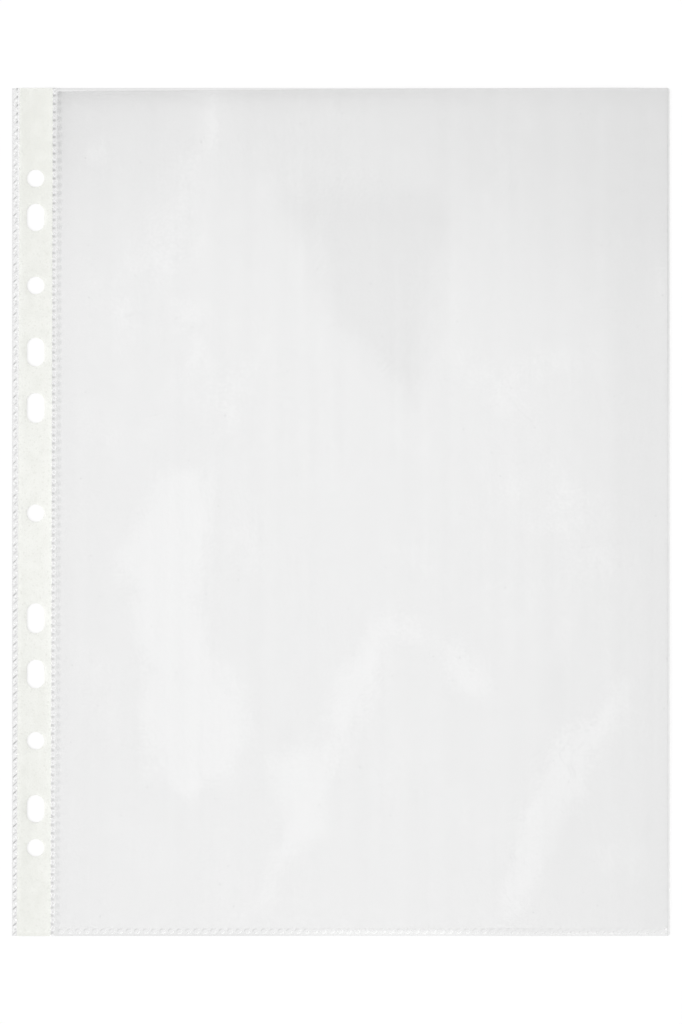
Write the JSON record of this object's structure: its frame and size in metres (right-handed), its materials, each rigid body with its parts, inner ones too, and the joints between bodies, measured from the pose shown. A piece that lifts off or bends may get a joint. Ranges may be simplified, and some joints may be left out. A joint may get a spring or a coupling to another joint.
{
  "type": "sheet protector",
  "caption": "Clear top-opening sheet protector with knurled welds and a white reinforced strip punched with round holes and slots for ring binders.",
  "frame": {"origin": "middle of the page's outline on the surface that it lies on, back film down", "axes": "+X from the punched spine edge to the folded edge, +Y from the foot weld to the open mouth, +Z out of the front film"},
  "size_m": [0.236, 0.304, 0.0005],
  "materials": {
    "clear_film": "gloss",
    "white_strip": "satin",
    "weld": "satin"
  },
  "bodies": {
    "binding_margin": {"reinforcing_strip": "white_strip", "margin_film_front": "clear_film", "margin_film_back": "clear_film", "spine_weld": "weld"},
    "pocket": {"inner_weld": "weld", "back_film": "clear_film", "foot_weld": "weld", "side_fold": "clear_film", "front_film_weld_side": "clear_film", "front_film_fold_side": "clear_film"},
    "front_panel": {"front_film_panel": "clear_film"}
  },
  "joints": [
    {"name": "page_turn", "type": "hinge", "parent": "binding_margin", "child": "pocket", "pos_m": [-0.10363, 0, 0.00012], "axis": [0, -1, 0], "range_deg": [-145, 145]},
    {"name": "mouth_open", "type": "hinge", "parent": "pocket", "child": "front_panel", "pos_m": [0, -0.14896, 0.0002], "axis": [1, 0, 0], "range_deg": [0, 4]}
  ]
}
